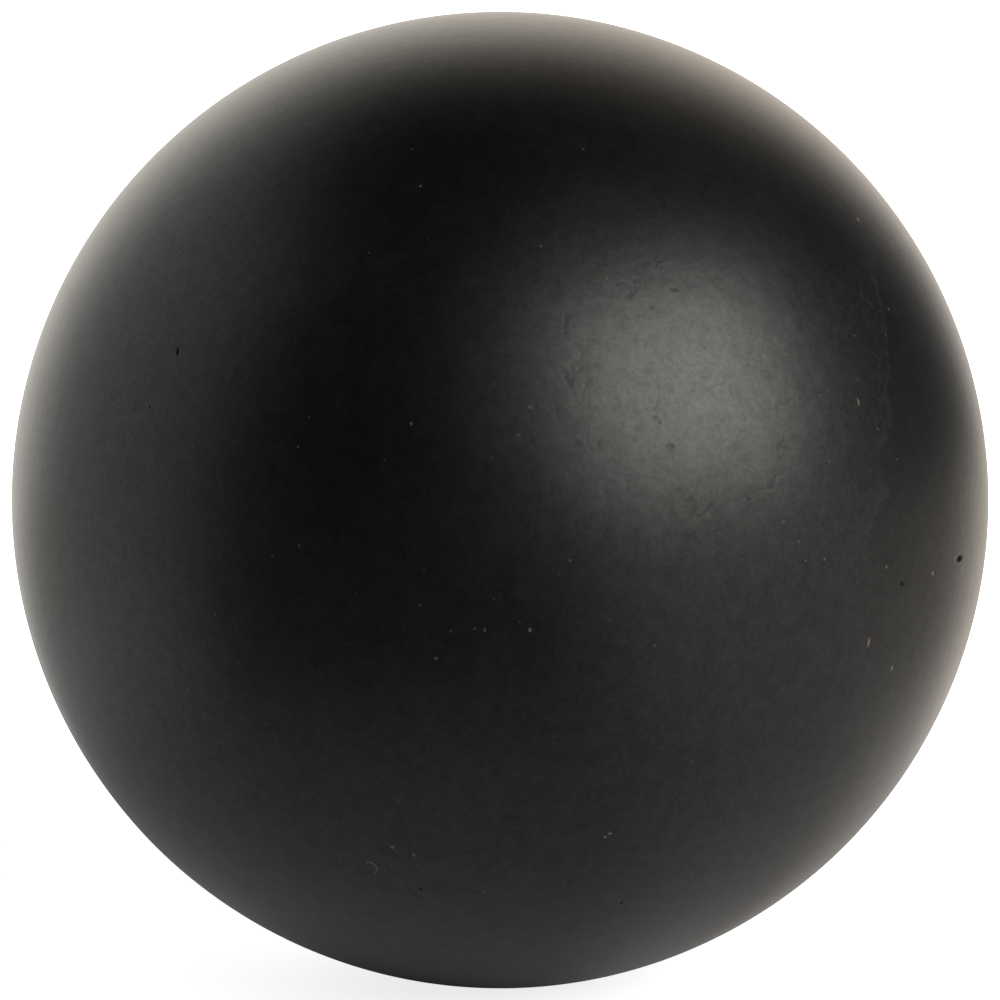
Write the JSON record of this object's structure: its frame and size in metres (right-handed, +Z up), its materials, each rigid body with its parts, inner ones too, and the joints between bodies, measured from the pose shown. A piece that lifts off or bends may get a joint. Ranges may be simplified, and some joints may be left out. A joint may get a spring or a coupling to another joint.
{
  "type": "case opening friction ball",
  "caption": "Hollow black rubber ball with an inflation valve, pressed on a screwed watch case back and turned by hand to open or close it by friction.",
  "frame": {"origin": "centre of the ball", "axes": "+Z up from the resting patch, +Y through the valve, -Y through the middle of the plain front half, seam in the XZ plane"},
  "size_m": [0.065, 0.0649, 0.0649],
  "materials": {
    "shell_rubber": "smooth moulded satin black, with a faint bloom",
    "bond_cement": "cured black rubber cement, buffed flush",
    "housing_rubber": "firm matt black rubber",
    "plug_rubber": "soft matt dark grey rubber"
  },
  "bodies": {
    "root": {"front_half_shell": "shell_rubber", "rear_half_shell": "shell_rubber", "seam_bond": "bond_cement", "valve_housing": "housing_rubber", "valve_plug": "plug_rubber"}
  },
  "joints": []
}
